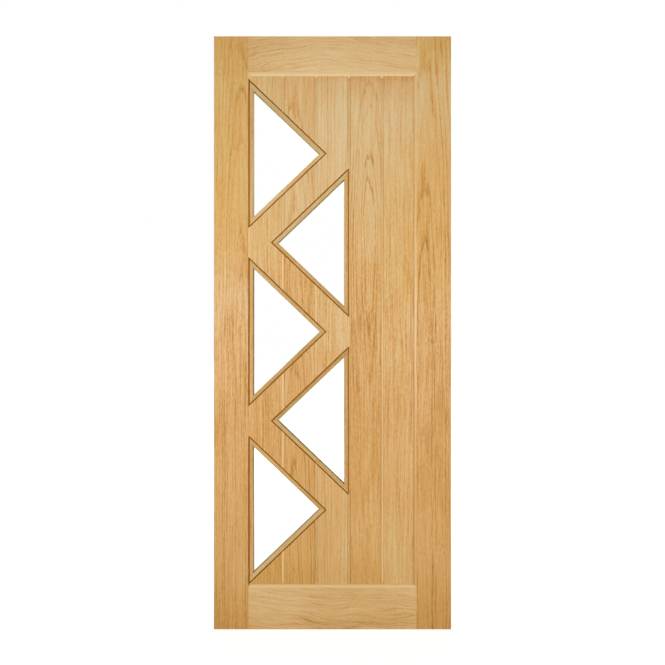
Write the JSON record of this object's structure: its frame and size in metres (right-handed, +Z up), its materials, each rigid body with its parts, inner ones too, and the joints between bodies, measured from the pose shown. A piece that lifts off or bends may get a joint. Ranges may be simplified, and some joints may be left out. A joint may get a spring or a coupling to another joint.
{
  "type": "glazed interior door leaf",
  "caption": "Oak door leaf with a framed panel of upright V-jointed boards and a zigzag of triangular glazed lights held by mitred beads; hung on one edge to close a doorway.",
  "frame": {"origin": "on the flat hinge edge, at the foot of the leaf and in the middle of its thickness", "axes": "+X across the leaf away from the hinge edge, +Z up, and the front face towards -Y"},
  "size_m": [0.813, 0.035, 2.032],
  "materials": {
    "frame_oak": "satin",
    "board_oak": "satin",
    "bead_oak": "satin",
    "clear_glass": null
  },
  "bodies": {
    "root": {"left_stile": "frame_oak", "right_stile": "frame_oak", "top_rail": "frame_oak", "bottom_rail": "frame_oak", "board_1": "board_oak", "board_2": "board_oak", "board_3": "board_oak", "board_4": "board_oak", "board_5": "board_oak", "bead_1_front_upright": "bead_oak", "bead_1_front_upper": "bead_oak", "bead_1_front_lower": "bead_oak", "bead_1_back_upright": "bead_oak", "bead_1_back_upper": "bead_oak", "bead_1_back_lower": "bead_oak", "bead_2_front_upright": "bead_oak", "bead_2_front_upper": "bead_oak", "bead_2_front_lower": "bead_oak", "bead_2_back_upright": "bead_oak", "bead_2_back_upper": "bead_oak", "bead_2_back_lower": "bead_oak", "bead_3_front_upright": "bead_oak", "bead_3_front_upper": "bead_oak", "bead_3_front_lower": "bead_oak", "bead_3_back_upright": "bead_oak", "bead_3_back_upper": "bead_oak", "bead_3_back_lower": "bead_oak", "bead_4_front_upright": "bead_oak", "bead_4_front_upper": "bead_oak", "bead_4_front_lower": "bead_oak", "bead_4_back_upright": "bead_oak", "bead_4_back_upper": "bead_oak", "bead_4_back_lower": "bead_oak", "bead_5_front_upright": "bead_oak", "bead_5_front_upper": "bead_oak", "bead_5_front_lower": "bead_oak", "bead_5_back_upright": "bead_oak", "bead_5_back_upper": "bead_oak", "bead_5_back_lower": "bead_oak", "pane_1": "clear_glass", "pane_2": "clear_glass", "pane_3": "clear_glass", "pane_4": "clear_glass", "pane_5": "clear_glass"}
  },
  "joints": []
}
